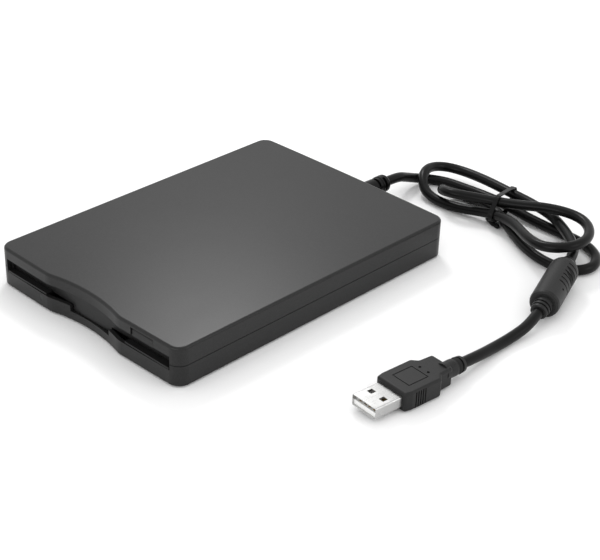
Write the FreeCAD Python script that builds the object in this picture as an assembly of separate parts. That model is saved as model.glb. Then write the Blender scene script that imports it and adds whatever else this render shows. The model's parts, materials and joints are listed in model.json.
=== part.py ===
import FreeCAD, Part
import math
import os

# External floppy disk drive, millimetres, +Z up.
# The origin is under the middle of the case, on the surface that the feet stand on.
# The disk slot faces -Y and the lead leaves through the rear wall at +Y.

# Case
body_width = 103.0
body_depth = 143.0
body_height = 16.0
foot_stand = 0.6
edge_bow = 0.5
corner_radius = 5.0
top_edge_radius = 1.1
bottom_edge_radius = 0.5
side_wall = 1.7
floor_wall = 1.6
roof_wall = 1.5
parting_height = 8.5
seam_gap = 0.25
lip_thickness = 0.7
lip_height = 1.5
fit_gap = 0.1

# Finger scoop in the front edge
scoop_half_width = 21.5
scoop_depth = 2.8
scoop_blend_radius = 12.0
scoop_centre = -0.6

# Disk slot in the front wall, heights above the case's underside
slot_left = 46.7
slot_right = 46.9
slot_bottom = 6.0
slot_top = 11.6
scoop_notch_left = -10.6
scoop_notch_right = 12.2
scoop_notch_bottom = 3.65

# Front of the mechanism
door_face_y = -68.4
door_thickness = 0.9
door_half_width = 45.4
door_bottom = 6.3
door_tab_bottom = 3.8
door_axis_height = 12.3
door_axis_back = 0.65
door_bead_radius = 0.65
door_pin_radius = 0.55
door_pin_length = 1.6
door_side_gap = 0.3
ledge_thickness = 0.65
ledge_gap = 0.28
ledge_front_y = -71.6
ledge_inner_left = -22.5
ledge_inner_right = 23.0

# Eject button, slide and disk carrier
button_left = 26.9
button_width = 11.2
button_bottom = 11.0
button_height = 3.1
button_face_y = -71.3
button_depth = 2.3
button_gap = 0.25
button_top_gap = 0.6
button_right_gap = 0.55
eject_travel = 4.5
carrier_drop = 2.0
sheet = 0.6
disk_half_width = 45.0
disk_side_gap = 0.4
carrier_front = -60.2
carrier_rear = 31.5
carrier_roof_under = 11.1
carrier_flange_width = 4.4
carrier_flange_top = 7.0
pin_radius = 0.8
pin_gap = 0.25
pin_height = 9.0
pin_places = (-40.0, 16.0)
slide_front = -56.0
slide_rear = 26.0
slide_gap = 0.5
slide_roof = 13.15
slide_bridge_depth = 12.0
tongue_width = 5.0

# Frame of the mechanism
frame_floor = 2.0
frame_sheet = 0.8
frame_front = -60.0
frame_rear = 61.4
frame_gap = 0.7
frame_wall_top = 12.0

# Spindle motor
spindle_y = -10.0
rotor_radius = 18.5
rotor_plate = 0.6
rotor_under = 4.7
rotor_skirt_depth = 1.0
hub_radius = 10.5
hub_top = 6.1
shaft_radius = 1.5
bush_radius = 3.2
bearing_gap = 0.05
stator_teeth = 12

# Head positioner
head_y = 29.0
head_travel = 15.0
screw_x = -14.0
screw_height = 7.4
screw_radius = 1.2
motor_front = 57.0
motor_length = 9.5
motor_radius = 5.2
rod_x = 14.0
rod_height = 4.8
rod_radius = 1.25
rod_front = 31.5
tower_front = 47.0
tower_depth = 5.0
lower_head_top = 6.4
upper_head_under = 11.2
arm_axis_height = 12.9
arm_axis_radius = 0.7

# Lever that opens the disk's shutter and pushes the disk out
lever_x = 36.0
lever_y = 28.0
lever_length = 26.0
lever_rest_angle = 40.0
lever_travel = 42.0
lever_pin_radius = 1.0

# Circuit board
board_left = 20.5
board_right = 44.5
board_front = 38.0
board_rear = 60.5
board_thickness = 1.0
board_lift = 1.0

# Feet and screws
foot_radius = 4.0
foot_inset_x = 10.0
foot_inset_y = 12.0
foot_recess = 0.5
foot_gap = 0.1
post_radius = 3.0
post_inset_x = 6.4
post_inset_y = 6.4
screw_head_radius = 2.0
screw_head_height = 1.3
screw_shank_radius = 1.0

half_width = body_width / 2
half_depth = body_depth / 2
case_under = foot_stand
case_top = foot_stand + body_height
parting = foot_stand + parting_height
floor_top = case_under + floor_wall
roof_under = case_top - roof_wall
door_axis_y = door_face_y + door_axis_back
door_axis_z = case_under + door_axis_height
carrier_inner = disk_half_width + disk_side_gap
carrier_outer = carrier_inner + sheet
slide_inner = carrier_outer + slide_gap
slide_outer = slide_inner + sheet
frame_inner = slide_outer + frame_gap
frame_outer = frame_inner + frame_sheet
frame_bed = case_under + frame_floor + frame_sheet
arm_axis_y = tower_front + tower_depth / 2

X_AXIS = FreeCAD.Vector(1, 0, 0)
Y_AXIS = FreeCAD.Vector(0, 1, 0)
Z_AXIS = FreeCAD.Vector(0, 0, 1)
ORIGIN = FreeCAD.Vector(0, 0, 0)


def point(x, y, z):
    return FreeCAD.Vector(x, y, z)


def block(x0, x1, y0, y1, z0, z1):
    return Part.makeBox(x1 - x0, y1 - y0, z1 - z0, point(x0, y0, z0))


def rod(x, y, z, axis, radius, length):
    return Part.makeCylinder(radius, length, point(x, y, z), axis)


def fused(shapes):
    return shapes[0].multiFuse(shapes[1:]).removeSplitter()


def cut(shape, tools):
    return shape.cut(tools)


def mirrored(shape):
    return shape.mirror(ORIGIN, X_AXIS)


def both_sides(shape):
    return [shape, mirrored(shape)]


def edges_at_height(shape, height):
    chosen = []
    for edge in shape.Edges:
        box = edge.BoundBox
        if abs(box.ZMin - height) < 1e-4 and abs(box.ZMax - height) < 1e-4:
            chosen.append(edge)
    return chosen


def slab(face, z0, z1):
    moved = face.copy()
    moved.translate(point(0, 0, z0))
    return moved.extrude(point(0, 0, z1 - z0))


def polygon_slab(corners, z0, z1):
    ring = [point(x, y, z0) for x, y in corners]
    return Part.Face(Part.makePolygon(ring + ring[:1])).extrude(point(0, 0, z1 - z0))


def bowed_front(x):
    straight = half_width - corner_radius
    return -(half_depth + edge_bow * (1 - (x / straight) ** 2))


def arc(first, middle, last):
    return Part.Arc(point(*first), point(*middle), point(*last)).toShape()


def corner_arc(centre_x, centre_y, radius, start_angle):
    spots = []
    for step in (0, 45, 90):
        angle = math.radians(start_angle + step)
        spots.append((centre_x + radius * math.cos(angle), centre_y + radius * math.sin(angle), 0))
    return arc(*spots)


def scoop_edges(inset):
    turn = 2 * math.atan(scoop_depth / scoop_half_width)
    both_radii = scoop_half_width / math.sin(turn)
    blend = scoop_blend_radius - inset
    hollow = both_radii - scoop_blend_radius + inset
    left = scoop_centre - scoop_half_width
    right = scoop_centre + scoop_half_width
    start = (left, bowed_front(left) + inset, 0)
    end = (right, bowed_front(right) + inset, 0)
    deepest = (scoop_centre, start[1] + (blend + hollow) * (1 - math.cos(turn)), 0)

    def on_blend(side, base, angle):
        x = base[0] + side * blend * math.sin(angle)
        return (x, base[1] + blend * (1 - math.cos(angle)), 0)

    return [
        arc(start, on_blend(1, start, turn / 2), on_blend(1, start, turn)),
        arc(on_blend(1, start, turn), deepest, on_blend(-1, end, turn)),
        arc(on_blend(-1, end, turn), on_blend(-1, end, turn / 2), end),
    ]


def case_outline(inset):
    """Plan of the case, moved inwards by inset, as a face at z = 0."""
    corner_x = half_width - corner_radius
    corner_y = half_depth - corner_radius
    radius = corner_radius - inset
    left = scoop_centre - scoop_half_width
    right = scoop_centre + scoop_half_width

    def front(x):
        return (x, bowed_front(x) + inset, 0)

    def rear(x):
        return (x, -bowed_front(x) - inset, 0)

    side = half_width - inset
    edges = [arc(front(-corner_x), front((left - corner_x) / 2), front(left))]
    edges += scoop_edges(inset)
    edges += [
        arc(front(right), front((right + corner_x) / 2), front(corner_x)),
        corner_arc(corner_x, -corner_y, radius, -90),
        Part.LineSegment(point(side, -corner_y, 0), point(side, corner_y, 0)).toShape(),
        corner_arc(corner_x, corner_y, radius, 0),
        arc(rear(corner_x), rear(0), rear(-corner_x)),
        corner_arc(-corner_x, corner_y, radius, 90),
        Part.LineSegment(point(-side, corner_y, 0), point(-side, -corner_y, 0)).toShape(),
        corner_arc(-corner_x, -corner_y, radius, 180),
    ]
    return Part.Face(Part.Wire(Part.__sortEdges__(edges)))


def foot_places():
    x = half_width - foot_inset_x
    y = half_depth - foot_inset_y
    return [(sx * x, sy * y) for sx in (-1, 1) for sy in (-1, 1)]


def post_places():
    x = half_width - post_inset_x
    y = half_depth - post_inset_y
    return [(-x, y), (x, y)]


def slot_box(z0, z1):
    return block(-slot_left, slot_right, -half_depth - 3, door_face_y - fit_gap, z0, z1)


def lower_shell():
    wall_top = parting - seam_gap
    body = slab(case_outline(0), case_under, wall_top)
    body = body.makeFillet(bottom_edge_radius, edges_at_height(body, case_under))
    body = cut(body, [slab(case_outline(side_wall), floor_top, wall_top + 1)])
    lip_outside = side_wall + fit_gap
    collar = slab(case_outline(side_wall - 0.1), wall_top - 2, wall_top)
    collar = collar.fuse(slab(case_outline(lip_outside), wall_top - 1, parting + lip_height))
    collar = cut(collar, [slab(case_outline(lip_outside + lip_thickness), 0, case_top)])
    body = body.fuse(collar)
    stands = [rod(x, y, floor_top - 0.2, Z_AXIS, post_radius, wall_top - floor_top) for x, y in post_places()]
    stands += [
        rod(sx * 40, y, floor_top - 0.2, Z_AXIS, 2.2, frame_floor - floor_wall + 0.2)
        for sx in (-1, 1)
        for y in (-50, 0, 45)
    ]
    body = body.multiFuse(stands)
    mouth = block(-frame_outer, frame_outer, -half_depth - 3, door_face_y + 5, wall_top - 2.3, case_top)
    notch = block(scoop_notch_left, scoop_notch_right, -half_depth - 3, door_face_y + 3,
                  case_under + scoop_notch_bottom, case_top)
    trim = block(-frame_outer, frame_outer, door_face_y - fit_gap, door_face_y + 4,
                 case_under + 2.3, wall_top + 2)
    inner_front = mouth.common(slab(case_outline(side_wall - 0.1), 0, case_top))
    tools = [slot_box(case_under + slot_bottom, case_top), notch, trim, inner_front]
    tools += [rod(x, y, 0, Z_AXIS, screw_shank_radius + 0.3, wall_top) for x, y in post_places()]
    tools += [rod(x, y, 0, Z_AXIS, screw_head_radius + 0.3, case_under + screw_head_height + 0.2)
              for x, y in post_places()]
    tools += [rod(x, y, 0, Z_AXIS, foot_radius + foot_gap, case_under + foot_recess)
              for x, y in foot_places()]
    tools += [relief_hole(), relief_pocket()]
    tools.append(lens_hole())
    tools += hook_windows()
    return cut(body, tools).removeSplitter()


def upper_shell():
    body = slab(case_outline(0), parting, case_top)
    body = body.makeFillet(top_edge_radius, edges_at_height(body, case_top))
    body = cut(body, [slab(case_outline(side_wall), parting - 1, roof_under)])
    posts = [rod(x, y, parting, Z_AXIS, post_radius, roof_under - parting + 0.3) for x, y in post_places()]
    ribs = [block(-46, 46, y, y + 0.9, roof_under - 0.35, roof_under + 0.2) for y in (-40, -20)]
    body = body.multiFuse(posts + ribs + hooks())
    scoop_back = block(-frame_outer, frame_outer, door_face_y - fit_gap, door_face_y + 2,
                       0, case_under + door_axis_height + 1.6)
    button_hole = block(button_left - button_gap, button_left + button_width + button_right_gap,
                        -half_depth - 3, door_face_y, 0,
                        case_under + button_bottom + button_height + button_top_gap)
    tools = [slot_box(0, case_under + slot_top), scoop_back, button_hole, relief_hole()]
    tools += [rod(x, y, parting - 1, Z_AXIS, screw_shank_radius - 0.05, 5.5) for x, y in post_places()]
    return cut(body, tools).removeSplitter()


hook_places = (-52.0, -5.0, 40.0)
hook_width = 6.0
hook_reach = 2.2


def hook_profile(side, y):
    """Snap hook: a strip inside the lower wall's lip with a barb that enters a window."""
    inner = half_width - side_wall - fit_gap - lip_thickness - 0.15
    strip = block(inner - 0.9, inner, y, y + hook_width, parting - hook_reach, roof_under + 0.2)
    return strip if side > 0 else mirrored(strip)


def hooks():
    parts = []
    for y in hook_places:
        for side in (-1, 1):
            inner = half_width - side_wall - fit_gap - lip_thickness - 0.15
            barb = block(inner - 0.1, inner + 0.5, y + 0.6, y + hook_width - 0.6,
                         parting - hook_reach, parting - hook_reach + 0.8)
            root = block(inner - 0.9, half_width - side_wall + 0.2, y, y + hook_width,
                         parting + lip_height + 0.3, roof_under + 0.2)
            parts.append(hook_profile(side, y))
            parts += [barb, root] if side > 0 else [mirrored(barb), mirrored(root)]
    return parts


def hook_windows():
    windows = []
    for y in hook_places:
        inner = half_width - side_wall - 0.9
        window = block(inner - 0.3, half_width - side_wall + 0.1, y + 0.3, y + hook_width - 0.3,
                       parting - hook_reach - 0.3, parting - hook_reach + 1.1)
        windows += both_sides(window)
    return windows


# Strain relief and lead
cord_diameter = 4.2
relief_height = parting_height
relief_bore_radius = 3.6
relief_flange = 1.2
relief_root_radius = 4.6
relief_tip_radius = 3.3
relief_length = 17.0
relief_root_length = 6.0
relief_x = 3.8


def relief_hole():
    start = half_depth - side_wall - 4
    return rod(relief_x, start, case_under + relief_height, Y_AXIS, relief_bore_radius + fit_gap, 8)


def relief_pocket():
    """Room in the lip for the flange on the strain relief's inner end."""
    start = half_depth - side_wall - 4
    return rod(relief_x, start, case_under + relief_height, Y_AXIS, relief_bore_radius + relief_flange + fit_gap,
               half_depth + edge_bow - side_wall - 0.1 - start)


lens_x = -25.5
lens_height = 3.9
lens_radius = 1.1


def lens_hole():
    return rod(lens_x, -half_depth - 3, case_under + lens_height, Y_AXIS, lens_radius + 0.05, 6)


def activity_lens():
    """Clear light pipe behind a small round hole beside the scoop."""
    face_y = bowed_front(lens_x) + 0.05
    z = case_under + lens_height
    pipe = rod(lens_x, face_y, z, Y_AXIS, lens_radius, 2.2)
    flange = rod(lens_x, bowed_front(lens_x) + side_wall + 0.02, z, Y_AXIS, lens_radius + 0.6, 0.5)
    return pipe.fuse(flange).removeSplitter()


def slot_bezel():
    """Plastic front of the mechanism, with two ledges that close the slot beside the scoop."""
    back = door_face_y + 2.6
    low = floor_top + 0.1
    rail_top = case_under + slot_bottom + fit_gap
    side = frame_outer - 0.2
    wall_inner = -half_depth + side_wall + 0.2
    post_inner = door_half_width + door_side_gap
    rails = [block(-side, side, back - 1.4, back, low, case_under + door_tab_bottom - 0.15)]
    rails.append(block(-side, ledge_inner_left - 1, wall_inner, back, low, rail_top))
    rails.append(block(ledge_inner_right + 1, side, wall_inner, back, low, rail_top))
    ledges = [
        block(-slot_left + 0.6, ledge_inner_left, ledge_front_y, door_face_y - 0.2,
              rail_top + ledge_gap - fit_gap, rail_top + ledge_gap - fit_gap + ledge_thickness),
        block(ledge_inner_right, slot_right - 0.4, ledge_front_y, door_face_y - 0.2,
              rail_top + ledge_gap - fit_gap, rail_top + ledge_gap - fit_gap + ledge_thickness),
        block(-slot_left + 0.6, ledge_inner_left - 1, door_face_y - 1.4, door_face_y - 0.2,
              rail_top - 0.6, rail_top + ledge_gap),
        block(ledge_inner_right + 1, slot_right - 0.4, door_face_y - 1.4, door_face_y - 0.2,
              rail_top - 0.6, rail_top + ledge_gap),
    ]
    posts = both_sides(block(post_inner, side, wall_inner + 0.2, back, low, roof_under - 0.5))
    head = block(-side, side, back - 1.4, back, door_axis_z + door_bead_radius + 0.25, roof_under - 0.5)
    pin_hole = rod(-side - 1, door_axis_y, door_axis_z, X_AXIS, door_pin_radius + bearing_gap, 2 * side + 2)
    tongue_hole = block(button_left + 1, button_left + button_width - 1, wall_inner, back + 1,
                        case_under + slide_roof - 0.1, case_under + slide_roof + sheet + 0.5)
    lens_clear = rod(lens_x, -half_depth, case_under + lens_height, Y_AXIS, lens_radius + 0.8, 4.0)
    scoop_clear = slab(case_outline(0), 0, case_top)
    scoop_clear = scoop_clear.cut(slab(case_outline(side_wall + 0.2), 0, case_top))
    scoop_clear = scoop_clear.common(block(-half_width, half_width, -half_depth - 3, -half_depth + 9,
                                           0, rail_top - 0.02))
    inside = slab(case_outline(side_wall + 0.15), 0, case_top)
    housed = fused(rails + posts + [head]).common(inside)
    return cut(fused([housed] + ledges), [pin_hole, tongue_hole, lens_clear, scoop_clear])


def dust_door():
    """Flap behind the slot, hinged on a bead along its top, that swings into the drive."""
    back = door_face_y + door_thickness
    bead_top = door_axis_z + door_bead_radius
    plate = block(-door_half_width, door_half_width, door_face_y, back, case_under + door_bottom, door_axis_z)
    tab = block(scoop_notch_left + 0.4, scoop_notch_right - 0.4, door_face_y, back,
                case_under + door_tab_bottom, case_under + door_bottom + 0.1)
    bead = rod(-door_half_width, door_axis_y, door_axis_z, X_AXIS, door_bead_radius, 2 * door_half_width)
    pins = rod(-door_half_width - door_pin_length, door_axis_y, door_axis_z, X_AXIS,
               door_pin_radius, 2 * (door_half_width + door_pin_length))
    ribs = [block(x, x + 0.8, back - 0.1, back + 0.5, case_under + door_bottom + 0.8, bead_top - 1.6)
            for x in (-30, -15, 14.2, 29.2)]
    return fused([plate, tab, bead, pins] + ribs)


def eject_button():
    face = block(button_left, button_left + button_width, button_face_y, button_face_y + button_depth,
                 case_under + button_bottom, case_under + button_bottom + button_height)
    top = case_under + button_bottom + button_height
    front_top = [e for e in face.Edges
                 if abs(e.BoundBox.ZMin - top) < 1e-4 and abs(e.BoundBox.YMax - button_face_y) < 1e-4]
    face = face.makeFillet(0.8, front_top)
    middle = button_left + button_width / 2
    z = case_under + slide_roof
    pocket = block(middle - tongue_width / 2 - 0.05, middle + tongue_width / 2 + 0.05,
                   button_face_y + 0.9, button_face_y + button_depth + 1, z - 0.05, z + sheet + 0.05)
    return cut(face, [pocket])


def eject_slide():
    """Sheet slide: its flanges carry sloping slots that lift and lower the disk carrier."""
    z = case_under + slide_roof
    bridge = block(-slide_outer, slide_outer, slide_front, slide_front + slide_bridge_depth, z, z + sheet)
    rails = both_sides(block(slide_outer - 7, slide_outer, slide_front, slide_rear, z, z + sheet))
    flanges = both_sides(block(slide_inner, slide_outer, slide_front, slide_rear, case_under + 6.2, z + sheet))
    middle = button_left + button_width / 2
    tongue = block(middle - tongue_width / 2, middle + tongue_width / 2, button_face_y + 1.0,
                   slide_front + 1, z, z + sheet)
    slots = []
    clear = pin_radius + pin_gap
    for y in pin_places:
        top_z = case_under + pin_height
        low_z = top_z - carrier_drop
        start = rod(slide_inner - 1, y, top_z, X_AXIS, clear, 4)
        finish = rod(slide_inner - 1, y + eject_travel, low_z, X_AXIS, clear, 4)
        slope = math.hypot(eject_travel, carrier_drop)
        off_y = clear * carrier_drop / slope
        off_z = clear * eject_travel / slope
        ring = [
            point(slide_inner - 1, y + off_y, top_z + off_z),
            point(slide_inner - 1, y + eject_travel + off_y, low_z + off_z),
            point(slide_inner - 1, y + eject_travel - off_y, low_z - off_z),
            point(slide_inner - 1, y - off_y, top_z - off_z),
        ]
        ramp = Part.Face(Part.makePolygon(ring + ring[:1])).extrude(point(4, 0, 0))
        slot = fused([start, finish, ramp])
        slots += both_sides(slot)
    windows = [block(-30, 24, slide_front + 3, slide_front + slide_bridge_depth - 3, z - 1, z + 2)]
    return cut(fused([bridge, tongue] + rails + flanges), slots + windows)


def lever_angle(extra):
    return math.radians(lever_rest_angle + extra)


def lever_tip(extra):
    angle = lever_angle(extra)
    return (lever_x - lever_length * math.cos(angle), lever_y - lever_length * math.sin(angle))


def disk_carrier():
    """Sheet tray that takes the disk between its roof and two side channels."""
    roof_z = case_under + carrier_roof_under
    flange_z = case_under + carrier_flange_top
    roof = block(-carrier_outer, carrier_outer, carrier_front, carrier_rear, roof_z, roof_z + sheet)
    walls = both_sides(block(carrier_inner, carrier_outer, carrier_front, carrier_rear,
                             flange_z - sheet, roof_z + sheet))
    flanges = both_sides(block(carrier_outer - carrier_flange_width, carrier_outer, carrier_front,
                               carrier_rear, flange_z - sheet, flange_z))
    pins = []
    for y in pin_places:
        pins += both_sides(rod(carrier_inner + 0.1, y, case_under + pin_height, X_AXIS, pin_radius,
                               frame_outer + 0.2 - carrier_inner))
    pivot = rod(lever_x, lever_y, roof_z + sheet - 0.1, Z_AXIS, 1.2, 1.5)
    finger = block(-14, 14, carrier_front - 1, carrier_front + 3.5, roof_z - 1, roof_z + 2)
    head_window = block(-7.5, 7.5, 9, carrier_rear + 1, roof_z - 1, roof_z + 2)
    windows = []
    for x in (-33, 17):
        windows.append(block(x, x + 16, -44, -22, roof_z - 1, roof_z + 2))
    reach = lever_length + lever_pin_radius + 0.4
    track = Part.makeCylinder(reach, 3, point(lever_x, lever_y, roof_z - 1), Z_AXIS, lever_travel + 14)
    track = track.cut(rod(lever_x, lever_y, roof_z - 2, Z_AXIS, reach - 2 * lever_pin_radius - 0.8, 6))
    track.rotate(point(lever_x, lever_y, 0), Z_AXIS, 180 + lever_rest_angle - lever_travel - 7)
    body = fused([roof] + walls + flanges + pins + [pivot])
    return cut(body, [finger, head_window, track] + windows)


def shutter_lever():
    """Lever on the carrier roof whose pin meets the disk's leading edge."""
    z = case_under + carrier_roof_under + sheet + 0.05
    tip_x, tip_y = lever_tip(0)
    boss = rod(lever_x, lever_y, z, Z_AXIS, 3.0, 0.8)
    head = rod(tip_x, tip_y, z, Z_AXIS, 2.0, 0.8)
    angle = lever_angle(0)
    side_x = math.sin(angle)
    side_y = -math.cos(angle)
    arm = polygon_slab([
        (lever_x + 2.4 * side_x, lever_y + 2.4 * side_y),
        (tip_x + 1.6 * side_x, tip_y + 1.6 * side_y),
        (tip_x - 1.6 * side_x, tip_y - 1.6 * side_y),
        (lever_x - 2.4 * side_x, lever_y - 2.4 * side_y),
    ], z, z + 0.8)
    pin = rod(tip_x, tip_y, z - 4.0, Z_AXIS, lever_pin_radius, 4.2)
    hole = rod(lever_x, lever_y, z - 1, Z_AXIS, 1.2 + bearing_gap, 4)
    return cut(fused([boss, head, arm, pin]), [hole])


def mechanism_frame():
    """Folded sheet frame that carries the motors, the guide rod and the carrier's pins."""
    z0 = case_under + frame_floor
    bed = frame_bed
    floor = block(-frame_outer, frame_outer, frame_front, frame_rear, z0, bed)
    walls = both_sides(block(frame_inner, frame_outer, frame_front, frame_rear, z0, case_under + frame_wall_top))
    rod_end_y = motor_front
    tabs = [
        block(rod_x - 3.5, rod_x + 3.5, rod_end_y - 0.2, rod_end_y + 1.0, bed - 0.1, case_under + rod_height + 2.6),
        block(rod_x - 3.5, rod_x + 3.5, rod_front - 1.2, rod_front - 0.1, bed - 0.1, case_under + rod_height + 1.6),
        block(screw_x - 6.5, screw_x + 6.5, motor_front - 1.0, motor_front - 0.1, bed - 0.1,
              case_under + screw_height + 4.4),
        block(screw_x - 3.0, screw_x + 3.0, rod_front - 1.2, rod_front - 0.1, bed - 0.1,
              case_under + screw_height + 0.4),
    ]
    spacers = [rod(x, y, bed - 0.1, Z_AXIS, 2.0, board_lift + 0.1) for x, y in board_screw_places()]
    tools = [rod(0, spindle_y, z0 - 1, Z_AXIS, bush_radius, 4)]
    clear = pin_radius + pin_gap
    for y in pin_places:
        slot = block(frame_inner - 1, frame_outer + 1, y - clear, y + clear,
                     case_under + pin_height - carrier_drop - clear, case_under + frame_wall_top + 1)
        tools += both_sides(slot)
    tools.append(rod(rod_x, rod_front - 2, case_under + rod_height, Y_AXIS, rod_radius + 0.02, rod_end_y - rod_front + 5))
    tools.append(rod(screw_x, motor_front - 2, case_under + screw_height, Y_AXIS, 2.0, 3))
    tools.append(rod(screw_x, rod_front - 2, case_under + screw_height, Y_AXIS, screw_radius + bearing_gap, 3))
    tools += [rod(x, y, z0 - 1, Z_AXIS, post_radius + 0.5, 20) for x, y in post_places()]
    tools += [rod(x, y, z0 - 1, Z_AXIS, 0.8, 5) for x, y in board_screw_places()]
    tools.append(block(screw_x - 6.2, screw_x + 6.2, motor_front + 0.1, frame_rear + 1, z0 - 1, bed + 0.05))
    tools += [block(x, x + 18, -54, -42, z0 - 1, bed + 1) for x in (-34, -9, 16)]
    tools += both_sides(block(30, 42, 18, 34, z0 - 1, bed + 0.5))
    tools += both_sides(block(frame_inner - 1, frame_outer + 1, -26, 2, case_under + 7.6, case_top))
    for y in hook_places:
        tools += both_sides(block(frame_inner - 0.5, frame_outer + 1, y - 0.4, y + hook_width + 0.4,
                                  parting - hook_reach - 0.4, case_top))
    return cut(fused([floor] + walls + tabs + spacers), tools)


def spindle_board():
    """Steel-backed board under the rotor, with the iron core of the motor on it."""
    z0 = frame_bed
    plate = block(-27, 27, spindle_y - 27, spindle_y + 20, z0, z0 + 0.4)
    core_z = case_under + 3.5
    ring = rod(0, spindle_y, z0 + 0.3, Z_AXIS, 8.0, core_z + 0.6 - z0 - 0.3)
    teeth = []
    for index in range(stator_teeth):
        tooth = block(6.0, rotor_radius - 3.2, -0.8, 0.8, core_z, core_z + 0.6)
        shoe = block(rotor_radius - 4.0, rotor_radius - 2.4, -2.9, 2.9, core_z, core_z + 0.6)
        for piece in (tooth, shoe):
            piece.rotate(ORIGIN, Z_AXIS, index * 360.0 / stator_teeth)
            piece.translate(point(0, spindle_y, 0))
            teeth.append(piece)
    hole = rod(0, spindle_y, z0 - 1, Z_AXIS, bush_radius + 0.0, 6)
    return cut(fused([plate, ring] + teeth), [hole])


def stator_coils():
    """Copper windings, one round each tooth of the core."""
    core_z = case_under + 3.5
    coils = []
    for index in range(stator_teeth):
        coil = block(8.4, rotor_radius - 5.2, -1.4, 1.4, core_z - 0.22, core_z + 0.82)
        coil = coil.cut(block(8, rotor_radius - 5, -0.8, 0.8, core_z, core_z + 0.6))
        coil.rotate(ORIGIN, Z_AXIS, index * 360.0 / stator_teeth)
        coil.translate(point(0, spindle_y, 0))
        coils.append(coil)
    return Part.makeCompound(coils)


def spindle_bush():
    z0 = case_under + frame_floor - 0.1
    bush = rod(0, spindle_y, z0, Z_AXIS, bush_radius, case_under + 4.3 - z0)
    return cut(bush, [rod(0, spindle_y, z0 + 0.3, Z_AXIS, shaft_radius + bearing_gap, 8)])


def spindle_rotor():
    """Flat rotor with its magnet skirt, shaft, hub plate and drive pin."""
    under = case_under + rotor_under
    plate = rod(0, spindle_y, under, Z_AXIS, rotor_radius, rotor_plate)
    skirt = rod(0, spindle_y, under - rotor_skirt_depth, Z_AXIS, rotor_radius, rotor_skirt_depth + 0.1)
    skirt = skirt.cut(rod(0, spindle_y, under - 3, Z_AXIS, rotor_radius - 1.8, 6))
    hub = rod(0, spindle_y, under + rotor_plate - 0.1, Z_AXIS, hub_radius, case_under + hub_top - under - rotor_plate + 0.1)
    spigot = rod(0, spindle_y, under, Z_AXIS, 1.9, case_under + hub_top + 0.4 - under)
    shaft_low = case_under + frame_floor + 0.25
    shaft = rod(0, spindle_y, shaft_low, Z_AXIS, shaft_radius, under + 0.1 - shaft_low)
    drive_pin = block(6.2, 8.6, spindle_y - 1.2, spindle_y + 1.2, case_under + hub_top - 0.1, case_under + hub_top + 0.4)
    holes = []
    for index in range(4):
        angle = math.radians(45 + 90 * index)
        holes.append(rod(14 * math.cos(angle), spindle_y + 14 * math.sin(angle), under - 1, Z_AXIS, 1.8, 3))
    return cut(fused([plate, skirt, hub, spigot, shaft, drive_pin]), holes)


def stepper_motor():
    z = case_under + screw_height
    can = rod(screw_x, motor_front + 0.3, z, Y_AXIS, motor_radius, motor_length - 0.3)
    back_edges = [e for e in can.Edges if abs(e.BoundBox.YMin - (motor_front + motor_length)) < 1e-4]
    can = can.makeFillet(0.8, back_edges)
    flange = block(screw_x - 7.5, screw_x + 7.5, motor_front, motor_front + 0.6, z - 4.2, z + 4.2)
    pads = block(screw_x + motor_radius - 1, screw_x + motor_radius + 2.2, motor_front + 2.5,
                 motor_front + motor_length - 1.5, z - 1.6, z + 1.6)
    bore = rod(screw_x, motor_front - 1, z, Y_AXIS, screw_radius + bearing_gap, 4)
    return cut(fused([can, flange, pads]), [bore])


def lead_screw():
    z = case_under + screw_height
    body = rod(screw_x, rod_front - 0.9, z, Y_AXIS, screw_radius, motor_front + 2.5 - rod_front + 0.9)
    groove_pitch = 1.5
    tools = []
    count = int((motor_front - rod_front - 3) / groove_pitch)
    for index in range(count):
        y = rod_front + 1.5 + index * groove_pitch
        ring = Part.makeTorus(screw_radius + 0.1, 0.3, point(screw_x, y, z), Y_AXIS)
        tools.append(ring)
    return cut(body, tools)


def guide_rod():
    return rod(rod_x, rod_front - 1.0, case_under + rod_height, Y_AXIS, rod_radius, motor_front - rod_front + 1.9)


def head_carriage():
    """Carriage on the guide rod and the lead screw, with the lower arm reaching under the disk."""
    rod_z = case_under + rod_height
    screw_z = case_under + screw_height
    rear = tower_front + tower_depth
    low = frame_bed + 0.6
    cross = block(-9.5, rod_x + 2.6, tower_front, rear, low, case_under + 6.0)
    collar = block(rod_x - 2.8, rod_x + 2.8, tower_front, rear + 3.0, rod_z - 2.0, rod_z + 2.4)
    rider = block(screw_x - 2.6, -6, tower_front, rear, screw_z - 2.4, screw_z + 2.4)
    riser = block(-9.5, -4.5, tower_front, rear, low, screw_z + 2.4)
    cheeks = [block(x, x + 1.8, tower_front, rear, low, case_under + arm_axis_height + 1.0)
              for x in (-6.6, 4.8)]
    arm = block(-4.5, 4.5, head_y - 4.5, tower_front + 1, low, case_under + 4.6)
    seat = block(-3.6, 3.6, head_y - 3.6, head_y + 3.6, case_under + 4.4, case_under + 5.4)
    solid = fused([cross, collar, rider, riser, arm, seat] + cheeks)
    bore = rod(rod_x, tower_front - 5, rod_z, Y_AXIS, rod_radius + bearing_gap, tower_depth + 12)
    thread = rod(screw_x, tower_front - 1, screw_z, Y_AXIS, screw_radius + 0.1, tower_depth + 2)
    mouth = block(screw_x - 4, screw_x, tower_front - 1, rear + 1, screw_z - screw_radius - 0.1,
                  screw_z + screw_radius + 0.1)
    pivot = rod(-8, arm_axis_y, case_under + arm_axis_height, X_AXIS, arm_axis_radius + bearing_gap, 16)
    pocket = block(-2.3, 2.3, head_y - 2.3, head_y + 2.3, case_under + 4.9, case_under + 6)
    return cut(solid, [bore, thread, mouth, pivot, pocket])


def head_block(z0, z1):
    body = block(-2.25, 2.25, head_y - 2.25, head_y + 2.25, z0, z1)
    upright = [e for e in body.Edges if abs(e.BoundBox.ZLength - (z1 - z0)) < 1e-4]
    return body.makeFillet(0.5, upright)


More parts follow.
